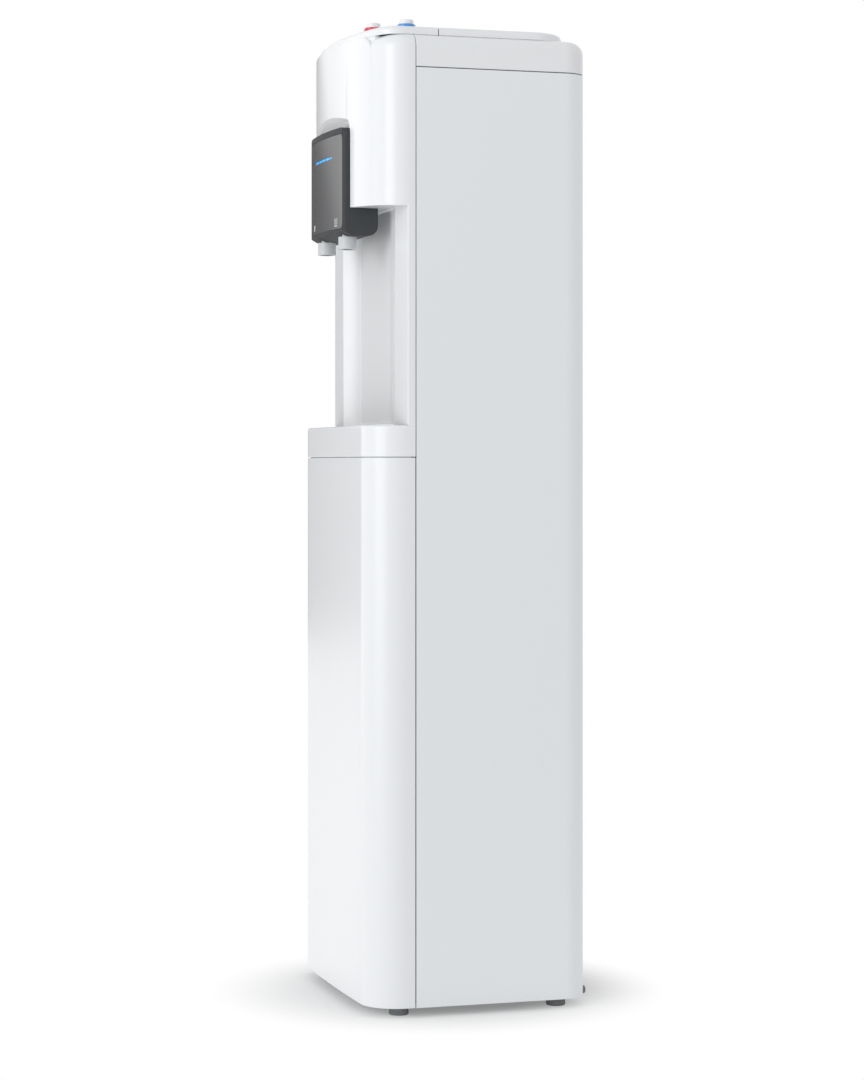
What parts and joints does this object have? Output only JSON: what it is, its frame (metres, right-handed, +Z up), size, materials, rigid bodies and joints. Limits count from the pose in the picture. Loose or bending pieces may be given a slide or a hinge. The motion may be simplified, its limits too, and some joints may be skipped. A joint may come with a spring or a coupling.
{
  "type": "top load water cooler",
  "caption": "Tall floor-standing water cooler with a bottle well on top, hot and cold push buttons, a dispensing head over a scooped cup space with a drip tray, and a rear condenser.",
  "frame": {"origin": "on the floor, at the middle of the cabinet's width and of its overall depth", "axes": "+Z up, the front with the dispensing head faces -Y, and +X is the long side seen in the picture"},
  "size_m": [0.294, 0.2606, 1.048],
  "materials": {
    "white_moulding": "satin moulded ABS",
    "sheet_white": "white powder coat, low gloss",
    "black_housing": "matt moulded",
    "head_gloss": "smoked gloss lens",
    "led_blue": "lit",
    "circuit_board": "lacquered",
    "nozzle_grey": "satin",
    "tray_grey": "matt moulded",
    "foot_grey": "matt",
    "button_white": "gloss",
    "ring_red": "gloss",
    "ring_blue": "gloss",
    "spring_steel": "drawn wire",
    "seat_plastic": "food-grade polypropylene",
    "seal_black": "moulded",
    "stainless": "spun stainless",
    "galvanised": "zinc plate",
    "foam_cream": "expanded foam",
    "copper_tube": "drawn copper",
    "band_grey": "clamped band",
    "compressor_black": "baked enamel",
    "condenser_black": "baked enamel",
    "hose_clear": "silicone",
    "switch_black": "moulded",
    "rocker_red": "gloss",
    "rocker_green": "gloss",
    "screw_steel": "zinc plated"
  },
  "bodies": {
    "cabinet": {"base_plate": "galvanised", "left_side_panel": "sheet_white", "right_side_panel": "sheet_white", "rear_panel": "sheet_white", "top_cap": "white_moulding", "bottle_collar": "white_moulding", "button_deck": "white_moulding", "front_fascia": "white_moulding", "face_plate": "white_moulding", "lower_front_panel": "white_moulding", "feet": "foot_grey", "rear_bumpers": "foot_grey", "dispense_head": "black_housing", "head_lens": "head_gloss", "led_bar": "led_blue", "display_board": "circuit_board", "hot_nozzle": "nozzle_grey", "cold_nozzle": "nozzle_grey", "hot_valve": "seat_plastic", "cold_valve": "seat_plastic", "hot_button_ring": "ring_red", "cold_button_ring": "ring_blue", "hot_button_spring": "spring_steel", "cold_button_spring": "spring_steel", "button_board": "circuit_board", "seat_seal": "seal_black", "cold_tank": "stainless", "cold_tank_lid": "seat_plastic", "cold_tank_foam": "foam_cream", "evaporator": "copper_tube", "cold_shelf": "galvanised", "hot_tank": "stainless", "heater_band": "band_grey", "hot_tank_jacket": "foam_cream", "hot_shelf": "galvanised", "compressor": "compressor_black", "compressor_grommets": "seal_black", "terminal_cover": "switch_black", "condenser_tube": "condenser_black", "condenser_wires": "condenser_black", "condenser_straps": "condenser_black", "filter_drier": "copper_tube", "suction_line": "copper_tube", "cold_hose": "hose_clear", "hot_hose": "hose_clear", "supply_hose": "hose_clear", "drain_pipe": "seat_plastic", "switch_frames": "switch_black", "power_inlet": "switch_black", "panel_screws": "screw_steel"},
    "drip_tray": {"drip_tray": "tray_grey"},
    "drip_grille": {"drip_grille": "tray_grey"},
    "bottle_seat": {"bottle_seat": "seat_plastic", "bottle_probe": "seat_plastic"},
    "hot_button": {"hot_button": "button_white"},
    "cold_button": {"cold_button": "button_white"},
    "drain_cap": {"drain_cap": "seat_plastic"},
    "hot_switch": {"hot_switch": "rocker_red"},
    "cold_switch": {"cold_switch": "rocker_green"}
  },
  "joints": [
    {"name": "hot_button_press", "type": "slide", "parent": "cabinet", "child": "hot_button", "axis": [0, 0, -1], "range_m": [0, 0.004], "stiffness_N_per_m": 400, "deforming": ["hot_button_spring"]},
    {"name": "cold_button_press", "type": "slide", "parent": "cabinet", "child": "cold_button", "axis": [0, 0, -1], "range_m": [0, 0.004], "stiffness_N_per_m": 400, "deforming": ["cold_button_spring"]},
    {"name": "drip_tray_lift", "type": "slide", "parent": "cabinet", "child": "drip_tray", "axis": [0, 0, 1], "range_m": [0, 0.05]},
    {"name": "drip_grille_lift", "type": "slide", "parent": "drip_tray", "child": "drip_grille", "axis": [0, 0, 1], "range_m": [0, 0.03]},
    {"name": "bottle_seat_lift", "type": "slide", "parent": "cabinet", "child": "bottle_seat", "axis": [0, 0, 1], "range_m": [0, 0.08]},
    {"name": "drain_cap_pull", "type": "slide", "parent": "cabinet", "child": "drain_cap", "axis": [0, 1, 0], "range_m": [0, 0.03]},
    {"name": "hot_switch_rock", "type": "hinge", "parent": "cabinet", "child": "hot_switch", "pos_m": [0.026, 0.1206, 0.92025], "axis": [1, 0, 0], "range_deg": [0, 16]},
    {"name": "cold_switch_rock", "type": "hinge", "parent": "cabinet", "child": "cold_switch", "pos_m": [-0.026, 0.1206, 0.92025], "axis": [1, 0, 0], "range_deg": [0, 16]}
  ]
}
